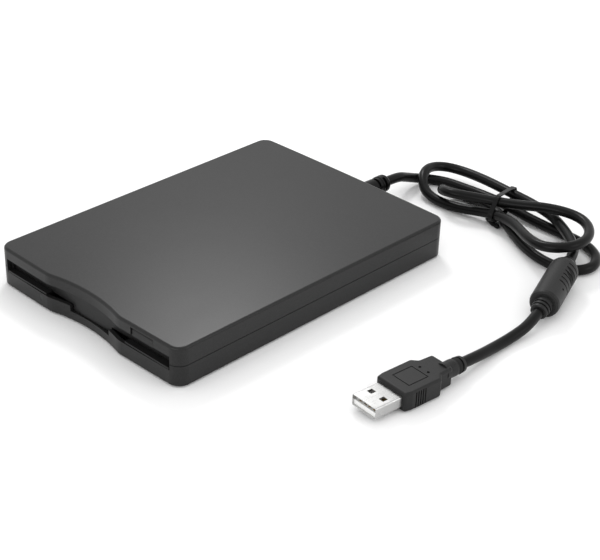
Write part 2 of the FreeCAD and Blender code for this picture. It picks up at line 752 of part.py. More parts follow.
def lower_head():
    body = head_block(case_under + 4.9, case_under + lower_head_top)
    return cut(body, [block(-0.25, 0.25, head_y - 3, head_y + 3, case_under + lower_head_top - 0.3, case_top)])


def upper_head_arm():
    """Upper arm on a cross pin in the carriage, which lowers with the disk carrier."""
    z = case_under + arm_axis_height
    barrel = rod(-4.7, arm_axis_y, z, X_AXIS, 1.25, 9.4)
    pin = rod(-6.5, arm_axis_y, z, X_AXIS, arm_axis_radius, 13.0)
    plate = polygon_slab([(-4.4, arm_axis_y), (-4.4, tower_front - 4), (-2.9, head_y - 4),
                          (2.9, head_y - 4), (4.4, tower_front - 4), (4.4, arm_axis_y)],
                         z - 0.45, z + 0.35)
    boss = block(-2.9, 2.9, head_y - 3.4, head_y + 3.4, z - 1.2, z - 0.4)
    wing = block(-10.6, -2.8, head_y + 1.2, head_y + 4.4, z - 0.45, z + 0.35)
    window = block(-1.6, 1.6, head_y + 6, tower_front - 3, z - 2, z + 2)
    return cut(fused([barrel, pin, plate, boss, wing]), [window])


def upper_head():
    z1 = case_under + arm_axis_height - 1.2
    body = head_block(case_under + upper_head_under, z1)
    return cut(body, [block(-0.25, 0.25, head_y - 3, head_y + 3, 0, case_under + upper_head_under + 0.25)])


def board_screw_places():
    edge = 2.6
    return [(x, y) for x in (board_left + edge, board_right - edge)
            for y in (board_front + edge, board_rear - edge)]


def circuit_board():
    z0 = frame_bed + board_lift
    board = block(board_left, board_right, board_front, board_rear, z0, z0 + board_thickness)
    return cut(board, [rod(x, y, z0 - 1, Z_AXIS, 0.9, 4) for x, y in board_screw_places()])


def board_parts():
    """Controller, regulator, crystal, capacitors and the light that shines into the lens."""
    z = frame_bed + board_lift + board_thickness
    chip = block(28, 37, 43, 52, z, z + 1.2)
    legs = []
    for index in range(8):
        y = 43.7 + index * 1.05
        legs.append(block(26.9, 28.05, y, y + 0.45, z, z + 0.35))
        legs.append(block(36.95, 38.1, y, y + 0.45, z, z + 0.35))
    chip = fused([chip] + legs)
    regulator = block(39.5, 42.8, 49, 53.5, z, z + 1.4)
    crystal = block(22.2, 25.6, 48, 56, z, z + 1.6)
    tins = [rod(40.6, y, z, Z_AXIS, 1.9, 3.2) for y in (45.4,)]
    passives = [block(30 + 2.2 * index, 31.2 + 2.2 * index, 40.6, 41.4, z, z + 0.5) for index in range(4)]
    return Part.makeCompound([chip, regulator, crystal] + tins + passives)


def board_screws():
    z = frame_bed + board_lift + board_thickness
    screws = []
    for x, y in board_screw_places():
        head = rod(x, y, z, Z_AXIS, 1.5, 0.7)
        shank = rod(x, y, z - 2.4, Z_AXIS, 0.75, 2.5)
        slot = block(x - 1.1, x + 1.1, y - 0.15, y + 0.15, z + 0.4, z + 1)
        screws.append(cut(head.fuse(shank), [slot]))
    return Part.makeCompound(screws)


socket_x = 31.0
socket_rear_gap = 0.6


def lead_socket():
    z = frame_bed + board_lift + board_thickness
    rear = board_rear - socket_rear_gap
    shell = block(socket_x - 5.2, socket_x + 5.2, rear - 5.4, rear, z, z + 4.4)
    return cut(shell, [block(socket_x - 4.4, socket_x + 4.4, rear - 4.2, rear + 1, z + 0.8, z + 3.6)])


def disk_switches():
    """Three small push switches that feel the disk's notches."""
    switches = []
    for x, y in ((-38.5, 12.0), (38.5, 12.0), (33.5, 12.0)):
        body = block(x - 1.8, x + 1.8, y - 2.4, y + 2.4, frame_bed, frame_bed + 1.9)
        plunger = rod(x, y, frame_bed + 1.8, Z_AXIS, 0.7, 1.1)
        switches.append(body.fuse(plunger))
    return Part.makeCompound(switches)


def ribbon_cable():
    """Flat cable from the spindle board to the circuit board."""
    z0 = frame_bed + 0.4
    z1 = frame_bed + board_lift + board_thickness
    thick = 0.2
    start = spindle_y + 16
    side = [(start, z0), (26, z0), (34, z1), (board_front + 2.0, z1),
            (board_front + 2.0, z1 + thick), (34 - 0.1, z1 + thick), (26 - 0.1, z0 + thick),
            (start, z0 + thick)]
    ring = [point(25.2, y, z) for y, z in side]
    return Part.Face(Part.makePolygon(ring + ring[:1])).extrude(point(6, 0, 0))


def rubber_feet():
    feet = []
    for x, y in foot_places():
        foot = rod(x, y, 0, Z_AXIS, foot_radius, foot_stand + foot_recess)
        low = [e for e in foot.Edges if abs(e.BoundBox.ZMax) < 1e-4]
        feet.append(foot.makeFillet(0.25, low))
    return Part.makeCompound(feet)


def case_screws():
    screws = []
    for x, y in post_places():
        z = case_under + 0.2
        head = rod(x, y, z, Z_AXIS, screw_head_radius, screw_head_height)
        shank = rod(x, y, z + screw_head_height - 0.1, Z_AXIS, screw_shank_radius - 0.05,
                    parting + 4.2 - z - screw_head_height)
        cross = [block(x - 1.2, x + 1.2, y - 0.25, y + 0.25, z - 1, z + 0.7),
                 block(x - 0.25, x + 0.25, y - 1.2, y + 1.2, z - 1, z + 0.7)]
        screws.append(cut(head.fuse(shank), cross))
    return Part.makeCompound(screws)


# Route of the lead: middle line points, millimetres
exit_points = [
    (3.8, 88.8, 9.1), (3.8, 96.8, 9.1), (3.0, 104.2, 6.0), (2.8, 110.6, 3.4),
    (6.0, 116.4, 2.2), (13.2, 119.7, 2.2), (22.9, 120.7, 2.2),
]
hank_points = [
    (22.9, 120.7, 2.2), (32.6, 121.7, 2.2), (45.3, 119.5, 3.5), (57.1, 118.4, 2.7),
    (68.2, 118.3, 2.2), (80.0, 118.3, 2.2), (89.6, 117.2, 2.2), (97.0, 112.8, 2.2),
    (101.2, 105.6, 2.2), (99.4, 98.2, 2.2), (92.6, 94.1, 2.2), (82.8, 94.0, 2.2),
    (70.4, 98.1, 2.2), (57.4, 106.0, 2.5), (46.3, 112.4, 3.5), (35.3, 115.5, 2.6),
    (26.4, 114.4, 2.4), (21.0, 111.0, 3.6), (21.2, 105.9, 6.6), (25.6, 101.0, 9.2),
    (31.4, 100.2, 10.2), (37.0, 103.9, 9.8), (46.4, 108.8, 9.4), (56.4, 112.0, 10.2),
    (66.5, 116.1, 11.6), (75.6, 119.0, 12.0), (84.2, 118.9, 12.0), (91.2, 114.2, 12.0),
    (95.6, 106.8, 12.1), (96.4, 98.3, 12.4), (92.6, 91.2, 12.3), (85.2, 88.9, 11.2),
    (75.0, 93.4, 9.8), (64.0, 101.0, 8.2), (53.4, 105.2, 6.4), (43.3, 106.1, 4.0),
    (32.6, 103.7, 2.5), (22.2, 102.6, 2.2), (14.6, 103.4, 3.4), (9.8, 106.4, 6.2),
    (6.6, 111.7, 8.1), (5.4, 118.6, 7.4), (8.2, 125.2, 6.0), (16.0, 128.2, 5.4),
    (29.4, 126.6, 6.5), (43.4, 123.8, 7.3), (56.3, 123.3, 6.8), (68.8, 120.4, 6.8),
    (80.3, 112.8, 7.8), (88.4, 106.6, 7.9), (94.3, 100.3, 7.8), (97.3, 92.2, 7.4),
]
tail_points = [
    (109.9, 56.3, 5.2), (111.8, 48.8, 3.9), (111.3, 39.2, 2.3), (111.1, 28.4, 2.25),
    (111.9, 17.4, 3.7), (111.7, 8.8, 4.5),
]


def route_wire(name, points):
    """Straight runs joined by arcs that touch both runs."""
    spots = [point(*p) for p in points]
    edges = []
    radii = []
    last = spots[0]
    for index in range(1, len(spots) - 1):
        back = spots[index - 1] - spots[index]
        ahead = spots[index + 1] - spots[index]
        shorter = min(back.Length, ahead.Length)
        half_turn = (math.pi - back.getAngle(ahead)) / 2
        reach = 0.45 * shorter
        radius = reach / math.tan(half_turn)
        radii.append(radius)
        back.normalize()
        ahead.normalize()
        inward = back + ahead
        inward.normalize()
        centre = spots[index] + inward * (radius / math.cos(half_turn))
        start = spots[index] + back * reach
        end = spots[index] + ahead * reach
        edges.append(Part.LineSegment(last, start).toShape())
        edges.append(Part.Arc(start, centre - inward * radius, end).toShape())
        last = end
    edges.append(Part.LineSegment(last, spots[-1]).toShape())
    print(name, "bend radii", [round(r, 1) for r in radii])
    return Part.Wire(edges)


def tube(name, points):
    wire = route_wire(name, points)
    first = point(*points[0])
    heading = point(*points[1]) - first
    ring = Part.Wire([Part.makeCircle(cord_diameter / 2, first, heading)])
    solid = wire.makePipeShell([ring], True, False)
    section = math.pi * cord_diameter ** 2 / 4
    print(name, "length", round(wire.Length, 1), "volume over section times length",
          round(solid.Volume / (section * wire.Length), 4))
    return solid, wire


def least_self_gap(wire):
    """Least distance between stretches of the lead that aren't neighbours, from points along it."""
    count = int(wire.Length / 1.0)
    step = wire.Length / count
    spots = wire.discretize(count + 1)
    apart = int(9.0 / step) + 1
    least = 1e9
    for i in range(len(spots)):
        for j in range(i + apart, len(spots)):
            gap = (spots[i] - spots[j]).Length
            if gap < least:
                least = gap
    return least - cord_diameter


def cord_exit_run():
    return tube("cord_exit_run", exit_points)[0]


def cord_hank():
    solid, wire = tube("cord_hank", hank_points)
    print("cord_hank least gap to itself", round(least_self_gap(wire), 2))
    return solid


def cord_end_run():
    return tube("cord_end_run", tail_points)[0]


def along(start, end, distance):
    direction = point(*end) - point(*start)
    direction.normalize()
    return point(*start) + direction * distance


def turned_profile(base, axis, stations):
    """Solid of revolution from (distance, radius) pairs along an axis."""
    ring = [point(0, 0, stations[0][0])]
    ring += [point(radius, 0, distance) for distance, radius in stations]
    ring.append(point(0, 0, stations[-1][0]))
    solid = Part.Face(Part.makePolygon(ring + ring[:1])).revolve(ORIGIN, Z_AXIS, 360)
    solid.Placement = FreeCAD.Placement(base, FreeCAD.Rotation(Z_AXIS, axis))
    return solid


def strain_relief():
    """Sleeve held in the rear wall: a root, a slotted taper and a square end."""
    rear = half_depth + edge_bow
    z = case_under + relief_height
    inner = rear - side_wall - 1.3
    base = point(relief_x, 0, z)
    tip = exit_points[0][1]
    stations = [
        (inner, relief_bore_radius + relief_flange), (rear - side_wall - 0.15, relief_bore_radius + relief_flange),
        (rear - side_wall - 0.15, relief_bore_radius), (rear + 0.1, relief_bore_radius),
        (rear + 0.1, relief_root_radius), (rear + 2.2, relief_root_radius),
        (rear + 4.0, relief_root_radius - 0.7), (tip - 4.6, relief_tip_radius + 0.3),
        (tip - 4.3, relief_tip_radius + 0.55), (tip - 1.0, relief_tip_radius + 0.45),
        (tip - 0.3, relief_tip_radius + 0.1), (tip, relief_tip_radius - 0.4),
    ]
    solid = turned_profile(base, Y_AXIS, stations)
    slots = []
    for index, y in enumerate((tip - 7.2, tip - 3.6)):
        outer = rod(relief_x, y, z, Y_AXIS, 8.0, 1.3)
        ring = outer.cut(rod(relief_x, y - 1, z, Y_AXIS, 2.75, 4))
        gap = 1.1
        keep = (block(relief_x - gap, relief_x + gap, y - 1, y + 3, z - 9, z + 9) if index % 2
                else block(relief_x - 9, relief_x + 9, y - 1, y + 3, z - gap, z + gap))
        slots.append(ring.cut(keep))
    return cut(solid, slots)


# Suppression core on the lead
ferrite_start = hank_points[-1]
ferrite_end = (108.7, 61.0, 6.0)
ferrite_radius = 5.9
ferrite_rib_depth = 0.8
ferrite_rib_width = 0.6
ferrite_rib_pitch = 2.6
ferrite_rib_count = 6
ferrite_rib_start = 8.6
ferrite_rib_sweep = 84.0
ferrite_rib_turn = -75.0
ferrite_face = (0.512, 0.150, 0.846)
ferrite_pin_marks = ((5.6, -34.0), (24.9, -23.0))


def ferrite_frame():
    """Local frame of the core: Z along it, X towards the side that the ribs start on."""
    base = point(*ferrite_start)
    axis = point(*ferrite_end) - base
    return FreeCAD.Placement(base, FreeCAD.Rotation(point(*ferrite_face), ORIGIN, axis, "ZXY"))


def ferrite_sleeve():
    """Moulded core with short ribs on two sides and a slotted collar at each end."""
    base = point(*ferrite_start)
    axis = point(*ferrite_end) - base
    length = axis.Length
    body = turned_profile(base, axis, [
        (0.05, 2.8), (0.3, 3.1), (1.2, 3.2), (1.2, 2.7), (1.9, 2.7), (1.9, 3.5), (3.4, 4.1), (5.0, 5.3),
        (6.2, 5.75), (7.4, ferrite_radius), (length - 1.5, ferrite_radius), (length - 0.5, 5.6),
        (length, 4.9), (length + 0.01, 4.5),
    ])
    frame = ferrite_frame()
    tools = []
    for index in range(ferrite_rib_count):
        low = ferrite_rib_start + ferrite_rib_pitch * index
        for half in (0, 180):
            sector = Part.makeCylinder(ferrite_radius + 1, ferrite_rib_width, point(0, 0, low), Z_AXIS,
                                       ferrite_rib_sweep)
            sector = sector.cut(rod(0, 0, low - 1, Z_AXIS, ferrite_radius - ferrite_rib_depth, 3))
            sector.rotate(ORIGIN, Z_AXIS, ferrite_rib_turn + half)
            tools.append(sector)
    for height, turn in ferrite_pin_marks:
        mark = rod(ferrite_radius - 0.7, 0, height, X_AXIS, 0.5, 2)
        mark.rotate(ORIGIN, Z_AXIS, turn)
        tools.append(mark)
    for tool in tools:
        tool.Placement = frame.multiply(tool.Placement)
    body = cut(body, tools)
    collar = turned_profile(point(*tail_points[0]), point(*tail_points[0]) - point(*tail_points[1]), [
        (0.0, 2.9), (0.3, 3.3), (1.1, 3.4), (1.1, 2.8), (1.8, 2.8), (1.8, 3.5), (2.7, 3.6), (2.7, 2.9),
        (3.4, 2.9), (3.4, 3.7), (6.6, 3.8),
    ])
    return body.fuse(collar)


# Tie round the five strands: the upright plane it lies in, and each strand's place,
# height, half width and half height in that plane
tie_middle = (46.6, 117.0)
tie_lean = 13.94
tie_width = 1.9
tie_thickness = 0.7
tie_strands = [
    (2.59, 3.28, 2.67, 2.19), (-5.90, 3.28, 3.50, 2.21), (-7.83, 9.61, 2.31, 2.22),
    (-11.80, 5.46, 2.62, 2.44), (7.08, 7.17, 2.61, 2.18),
]
tie_end_radius = 0.95
tie_end_points = [(43.8, 109.6, 1.1), (45.6, 107.6, 1.1), (49.0, 105.7, 1.1), (52.6, 105.1, 1.1)]
tie_joint = (48.9, 107.7, 1.4)


def around(strands, extra):
    """Corners of the smallest outline that takes in every strand."""
    spots = []
    for across, height, half_across, half_up in strands:
        for step in range(24):
            angle = 2 * math.pi * step / 24
            spots.append((across + (half_across + extra) * math.cos(angle),
                          height + (half_up + extra) * math.sin(angle)))
    spots.sort()

    def chain(order):
        kept = []
        for spot in order:
            while len(kept) > 1 and ((kept[-1][0] - kept[-2][0]) * (spot[1] - kept[-2][1])
                                     - (kept[-1][1] - kept[-2][1]) * (spot[0] - kept[-2][0])) <= 1e-9:
                kept.pop()
            kept.append(spot)
        return kept[:-1]

    return chain(spots) + chain(spots[::-1])


def tie_slab(extra, width):
    ring = [point(-width / 2, across, height) for across, height in around(tie_strands, extra)]
    solid = Part.Face(Part.makePolygon(ring + ring[:1])).extrude(point(width, 0, 0))
    solid.rotate(ORIGIN, Z_AXIS, tie_lean)
    solid.translate(point(tie_middle[0], tie_middle[1], 0))
    return solid


def cord_tie():
    """Flat wire tie pulled round the strands, its two ends twisted together."""
    band = cut(tie_slab(tie_thickness, tie_width), [tie_slab(0.14, tie_width + 2)])
    pieces = [band]
    runs = list(zip(tie_end_points[:-1], tie_end_points[1:])) + [(tie_end_points[2], tie_joint)]
    for start, end in runs:
        length = (point(*end) - point(*start)).Length
        pieces.append(Part.makeCylinder(tie_end_radius, length, point(*start), point(*end) - point(*start)))
    pieces += [Part.makeSphere(tie_end_radius, point(*p)) for p in tie_end_points]
    return fused(pieces)


# Plug, built with its middle line along +Y from the metal shell's tip
plug_tip = (105.65, -35.45, 0.0)
plug_turn = -5.4
plug_shell_width = 12.0
plug_shell_height = 4.5
plug_shell_wall = 0.32
plug_shell_middle = 4.0
plug_shell_length = 20.0
plug_grip_start = 12.0
plug_grip_end = 28.6
plug_neck_start = 30.8
plug_rear = 37.0
plug_corner_radius = 1.2
plug_edge_radius = 1.0
plug_low = 0.3
plug_high = 8.0


def plug_placed(shape):
    shape.rotate(ORIGIN, Z_AXIS, plug_turn)
    shape.translate(point(*plug_tip))
    return shape


def rounded_bar(width, height, radius, y0, y1, z_middle):
    bar = block(-width / 2, width / 2, y0, y1, z_middle - height / 2, z_middle + height / 2)
    long_edges = [e for e in bar.Edges if abs(e.BoundBox.YLength - (y1 - y0)) < 1e-4]
    return bar.makeFillet(radius, long_edges)


def plug_body():
    """Moulded grip with a stepped neck, a sunk outline on top and ribs on both sides."""
    left = [(-7.1, plug_grip_start), (-7.8, 15.0), (-7.8, plug_grip_end), (-5.6, plug_neck_start), (-5.2, plug_rear)]
    right = [(-x + 0.3, y) for x, y in left[::-1]]
    body = polygon_slab(left + right, plug_low, plug_high)
    upright = [e for e in body.Edges if abs(e.BoundBox.ZLength - (plug_high - plug_low)) < 1e-4]
    body = body.makeFillet(plug_corner_radius, upright)
    edges = edges_at_height(body, plug_low) + edges_at_height(body, plug_high)
    body = body.makeFillet(plug_edge_radius, edges)
    socket = rounded_bar(plug_shell_width + 0.02, plug_shell_height + 0.02, 0.7, plug_grip_start - 2,
                         plug_shell_length, plug_shell_middle)
    tools = [socket]
    outline = block(-4.2, 4.4, 16.6, 26.0, plug_high - 0.22, plug_high + 1)
    outline = outline.cut(block(-3.8, 4.0, 17.0, 25.6, plug_high - 1, plug_high + 2))
    tools.append(outline)
    for x in (-1.9, 2.3):
        tools.append(rod(x, 27.8, plug_high - 0.5, Z_AXIS, 0.55, 2))
    for index in range(5):
        y = 16.6 + 1.1 * index
        tools.append(block(7.6, 9.5, y, y + 0.5, 1.0, 7.2))
        tools.append(block(-9.2, -7.3, y, y + 0.5, 1.0, 7.2))
    body = plug_placed(cut(body, tools))
    end = point(*tail_points[-1])
    axis = point(*tail_points[-1]) - point(*tail_points[-2])
    axis.normalize()
    slots = [(1.6, 2.5), (3.6, 4.5)]
    stations = [(0.0, 2.7), (0.25, 3.05), (slots[0][0], 3.15)]
    for low, high in slots:
        stations += [(low, 2.5), (high, 2.5), (high, 3.25)]
    stations += [(5.6, 3.3), (8.0, 3.2), (10.4, 3.3)]
    relief = turned_profile(end, axis, stations)
    return body.fuse(relief).removeSplitter()


def plug_shell():
    """Folded metal shell with two square windows above and two below."""
    shell = rounded_bar(plug_shell_width, plug_shell_height, 0.7, 0.0, plug_shell_length, plug_shell_middle)
    inside = rounded_bar(plug_shell_width - 2 * plug_shell_wall, plug_shell_height - 2 * plug_shell_wall, 0.4,
                         -1.0, plug_shell_length + 1, plug_shell_middle)
    windows = [block(x - 1.15, x + 1.15, 4.9, 7.2, 0, plug_high) for x in (-3.0, 3.0)]
    return plug_placed(cut(shell, [inside] + windows))


def tongue_bottom():
    return plug_shell_middle - plug_shell_height / 2 + plug_shell_wall


def plug_tongue():
    z = tongue_bottom()
    half = plug_shell_width / 2 - plug_shell_wall - 0.02
    blade = block(-half, half, 0.6, 12.5, z + 0.02, z + 1.85)
    rear = block(-half, half, 12.4, plug_shell_length - 0.5, z + 0.02, z + plug_shell_height - 2 * plug_shell_wall - 0.02)
    grooves = [block(x - 0.55, x + 0.55, 1.4, 10.4, z + 1.7, z + 3) for x in (-3.5, -1.0, 1.0, 3.5)]
    inside = rounded_bar(plug_shell_width - 2 * plug_shell_wall - 0.04, plug_shell_height - 2 * plug_shell_wall - 0.04,
                         0.4, 0, plug_shell_length, plug_shell_middle)
    solid = cut(fused([blade, rear]).common(inside), grooves)
    below = [block(x - 1.15, x + 1.15, 4.9, 7.2, 0, z + 0.3) for x in (-3.0, 3.0)]
    return plug_placed(cut(solid, below))


def plug_contacts():
    z = tongue_bottom() + 1.7
    strips = [block(x - 0.5, x + 0.5, 1.5, 10.3, z + 0.005, z + 0.22) for x in (-3.5, -1.0, 1.0, 3.5)]
    return plug_placed(Part.makeCompound(strips))


NODES = {
    "lower_shell": lower_shell,
    "upper_shell": upper_shell,
    "slot_bezel": slot_bezel,
    "dust_door": dust_door,
    "eject_button": eject_button,
    "eject_slide": eject_slide,
    "disk_carrier": disk_carrier,
    "shutter_lever": shutter_lever,
    "mechanism_frame": mechanism_frame,
    "spindle_board": spindle_board,
    "stator_coils": stator_coils,
    "spindle_bush": spindle_bush,
    "spindle_rotor": spindle_rotor,
    "stepper_motor": stepper_motor,
    "lead_screw": lead_screw,
    "guide_rod": guide_rod,
    "head_carriage": head_carriage,
    "lower_head": lower_head,
    "upper_head_arm": upper_head_arm,
    "upper_head": upper_head,
    "circuit_board": circuit_board,
    "board_parts": board_parts,
    "board_screws": board_screws,
    "lead_socket": lead_socket,
    "disk_switches": disk_switches,
    "ribbon_cable": ribbon_cable,
    "activity_lens": activity_lens,
    "rubber_feet": rubber_feet,
    "case_screws": case_screws,
    "strain_relief": strain_relief,
    "cord_exit_run": cord_exit_run,
    "cord_hank": cord_hank,
    "cord_tie": cord_tie,
    "ferrite_sleeve": ferrite_sleeve,
    "cord_end_run": cord_end_run,
    "plug_body": plug_body,
    "plug_shell": plug_shell,
    "plug_tongue": plug_tongue,
    "plug_contacts": plug_contacts,
}

os.makedirs("parts", exist_ok=True)
for name, make in NODES.items():
    shape = make()
    if not shape.isValid():
        print("not valid:", name)
    print(name, "solids", len(shape.Solids), "volume", round(shape.Volume, 2))
    shape.exportStep("parts/" + name + ".step")
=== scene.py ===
import json
import math

import bpy
from mathutils import Matrix, Vector


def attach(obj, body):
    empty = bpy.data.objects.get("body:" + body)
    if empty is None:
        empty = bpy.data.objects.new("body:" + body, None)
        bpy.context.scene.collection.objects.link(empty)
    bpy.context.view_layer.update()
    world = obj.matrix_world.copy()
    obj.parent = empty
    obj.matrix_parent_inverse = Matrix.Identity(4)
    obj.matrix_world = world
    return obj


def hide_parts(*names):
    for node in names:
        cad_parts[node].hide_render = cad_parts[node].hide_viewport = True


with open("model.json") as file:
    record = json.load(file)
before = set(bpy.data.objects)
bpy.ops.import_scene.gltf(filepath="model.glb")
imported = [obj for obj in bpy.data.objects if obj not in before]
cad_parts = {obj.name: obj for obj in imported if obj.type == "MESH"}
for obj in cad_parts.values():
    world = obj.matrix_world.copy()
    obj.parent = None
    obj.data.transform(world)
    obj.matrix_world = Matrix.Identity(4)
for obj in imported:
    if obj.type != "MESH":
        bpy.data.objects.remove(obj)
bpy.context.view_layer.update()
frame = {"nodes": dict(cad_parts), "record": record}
nodes = frame["nodes"]
MM = 0.001

# Route of the lead, millimetres: the same points as the solids
EXIT = [
    (3.8, 88.8, 9.1), (3.8, 96.8, 9.1), (3.0, 104.2, 6.0), (2.8, 110.6, 3.4),
    (6.0, 116.4, 2.2), (13.2, 119.7, 2.2), (22.9, 120.7, 2.2),
]
HANK = [
    (22.9, 120.7, 2.2), (32.6, 121.7, 2.2), (45.3, 119.5, 3.5), (57.1, 118.4, 2.7),
    (68.2, 118.3, 2.2), (80.0, 118.3, 2.2), (89.6, 117.2, 2.2), (97.0, 112.8, 2.2),
    (101.2, 105.6, 2.2), (99.4, 98.2, 2.2), (92.6, 94.1, 2.2), (82.8, 94.0, 2.2),
    (70.4, 98.1, 2.2), (57.4, 106.0, 2.5), (46.3, 112.4, 3.5), (35.3, 115.5, 2.6),
    (26.4, 114.4, 2.4), (21.0, 111.0, 3.6), (21.2, 105.9, 6.6), (25.6, 101.0, 9.2),
    (31.4, 100.2, 10.2), (37.0, 103.9, 9.8), (46.4, 108.8, 9.4), (56.4, 112.0, 10.2),
    (66.5, 116.1, 11.6), (75.6, 119.0, 12.0), (84.2, 118.9, 12.0), (91.2, 114.2, 12.0),
    (95.6, 106.8, 12.1), (96.4, 98.3, 12.4), (92.6, 91.2, 12.3), (85.2, 88.9, 11.2),
    (75.0, 93.4, 9.8), (64.0, 101.0, 8.2), (53.4, 105.2, 6.4), (43.3, 106.1, 4.0),
    (32.6, 103.7, 2.5), (22.2, 102.6, 2.2), (14.6, 103.4, 3.4), (9.8, 106.4, 6.2),
    (6.6, 111.7, 8.1), (5.4, 118.6, 7.4), (8.2, 125.2, 6.0), (16.0, 128.2, 5.4),
    (29.4, 126.6, 6.5), (43.4, 123.8, 7.3), (56.3, 123.3, 6.8), (68.8, 120.4, 6.8),
    (80.3, 112.8, 7.8), (88.4, 106.6, 7.9), (94.3, 100.3, 7.8), (97.3, 92.2, 7.4),
]
TAIL = [
    (109.9, 56.3, 5.2), (111.8, 48.8, 3.9), (111.3, 39.2, 2.3), (111.1, 28.4, 2.25),
    (111.9, 17.4, 3.7), (111.7, 8.8, 4.5),
]
CORD_DIAMETER = 4.2
CORD_STEPS = 10
CORD_FACETS = 7

# Light and view, metres, watts and degrees
AMBIENT = 0.92
SOFTBOXES = {
    "overhead_light": ((-0.15, 0.25, 1.3), (0, 0, 0), (1.0, 1.0), 2),
    "sheen_light": ((-0.226, 0.206, 0.335), (0.04, -0.06, 0.01), (0.1, 0.08), 0.56),
    "front_light": ((0.15, -1.0, 0.35), (0, 0, 0), (0.8, 0.25), 2.5),
    "side_light": ((1.0, 0.45, 0.5), (0.05, 0.05, 0), (0.5, 0.3), 1.5),
}
FLOOR_SIZE = 8
CAMERA_PLACE = (0.3835, -0.3612, 0.3027)
CAMERA_YAW, CAMERA_RISE, CAMERA_ROLL = 44.59, 31.89, 1.31
CAMERA_LENS, CAMERA_SENSOR = 91.9, 36
CAMERA_SHIFT = (0.0415, 0.0705)


class Tree:
    """A node tree whose nodes are all made by one method."""

    def __init__(self, tree):
        self.tree = tree

    def node(self, kind, settings=None, sockets=None, out=0):
        """Output of a new node: settings come first, then values or links of its sockets."""
        made = self.tree.nodes.new(kind)
        for name, value in (settings or {}).items():
            setattr(made, name, value)
        for name, value in (sockets or {}).items():
            self.fill(made.inputs[name], value)
        return Signal(self, made.outputs[out])

    def fill(self, socket, value):
        if isinstance(value, Signal):
            self.tree.links.new(value.socket, socket)
        else:
            socket.default_value = value


class Signal:
    """A node output that is added, scaled and mixed like a number."""

    def __init__(self, tree, socket):
        self.tree = tree
        self.socket = socket

    def _math(self, operation, other):
        return self.tree.node("ShaderNodeMath", {"operation": operation}, {0: self, 1: other})

    def __add__(self, other):
        return self._math("ADD", other)

    def __mul__(self, other):
        return self._math("MULTIPLY", other)

    __radd__ = __add__
    __rmul__ = __mul__

    def spread(self, low, high):
        """0 below low, 1 above high and a smooth step between."""
        settings = {"interpolation_type": "SMOOTHSTEP"}
        return self.tree.node("ShaderNodeMapRange", settings, {0: self, 1: low, 2: high})

    def colour(self, first, second):
        """Colour that goes from the first to the second with this number."""
        sockets = {0: self, 6: (*first, 1), 7: (*second, 1)}
        return self.tree.node("ShaderNodeMix", {"data_type": "RGBA"}, sockets, out=2)


class Surface(Tree):
    """One procedural material, with its patterns laid out in millimetres."""

    BAND = 0.314  # width of one wave at a scale of 1

    def __init__(self, name, **constants):
        self.material = bpy.data.materials.new(name)
        self.material.use_nodes = True
        super().__init__(self.material.node_tree)
        self.shader = self.tree.nodes["Principled BSDF"]
        for key, value in constants.items():
            self.shader.inputs[key.replace("_", " ")].default_value = value
        self.position = self.node("ShaderNodeTexCoord", out="Object")

    def place(self, stretch=(1, 1, 1), turn=0.0):
        sockets = {
            "Vector": self.position,
            "Rotation": (0, 0, math.radians(turn)),
            "Scale": [MM * s for s in stretch],
        }
        return self.node("ShaderNodeMapping", {"vector_type": "TEXTURE"}, sockets)

    def noise(self, size, detail=3.0, rough=0.5, **place):
        """Cloudy pattern whose lumps are about size millimetres wide."""
        sockets = {
            "Vector": self.place(**place),
            "Scale": 1 / size,
            "Detail": detail,
            "Roughness": rough,
        }
        return self.node("ShaderNodeTexNoise", sockets=sockets)

    def cells(self, size):
        sockets = {"Vector": self.place(), "Scale": 1 / size}
        return self.node("ShaderNodeTexVoronoi", sockets=sockets, out="Distance")

    def waves(self, size, direction, distort=0.0):
        sockets = {"Vector": self.place(), "Scale": self.BAND / size, "Distortion": distort}
        return self.node("ShaderNodeTexWave", {"bands_direction": direction}, sockets, out=1)

    def feed(self, name, signal):
        self.fill(self.shader.inputs[name], signal)

    def relief(self, height, depth):
        """Bump from a height of 0 to 1, with its depth in millimetres."""
        sockets = {"Strength": 1.0, "Distance": depth * MM, "Height": height}
        self.feed("Normal", self.node("ShaderNodeBump", sockets=sockets))


def textured_plastic(name, dark, light, roughness, grain, depth, coat=0.0):
    surface = Surface(name, IOR=1.3, Coat_Weight=coat, Coat_Roughness=0.16, Coat_IOR=1.4)
    fine = surface.noise(grain, 2, 0.6)
    broad = surface.noise(34, 2)
    speck = surface.cells(grain * 1.7).spread(0.05, 0.42)
    smudge = surface.noise(19, 3, 0.55, stretch=(1, 1.6, 1), turn=24).spread(0.42, 0.74)
    amount = fine.spread(0.36, 0.66) * 0.55 + broad * 0.3 + speck * 0.15
    surface.feed("Base Color", amount.colour((dark,) * 3, (light,) * 3))
    surface.feed("Roughness", fine * 0.10 + broad * 0.03 + smudge * 0.02 + (roughness - 0.07))
    surface.relief(fine * 0.6 + speck * 0.4, depth)
    return surface.material


def vinyl(name, dark, light, roughness, depth=0.03):
    surface = Surface(name, IOR=1.22)
    fine = surface.noise(0.5, 3, 0.6)
    broad = surface.noise(9, 2)
    scuffs = surface.noise(3.0, 4, 0.65, stretch=(2.4, 1, 1), turn=35).spread(0.56, 0.74)
    surface.feed("Base Color", (fine * 0.5 + broad * 0.5).colour((dark,) * 3, (light,) * 3))
    surface.feed("Roughness", fine * 0.08 + scuffs * 0.12 + (roughness - 0.04))
    surface.relief(fine * 0.5 + broad * 0.5, depth)
    return surface.material


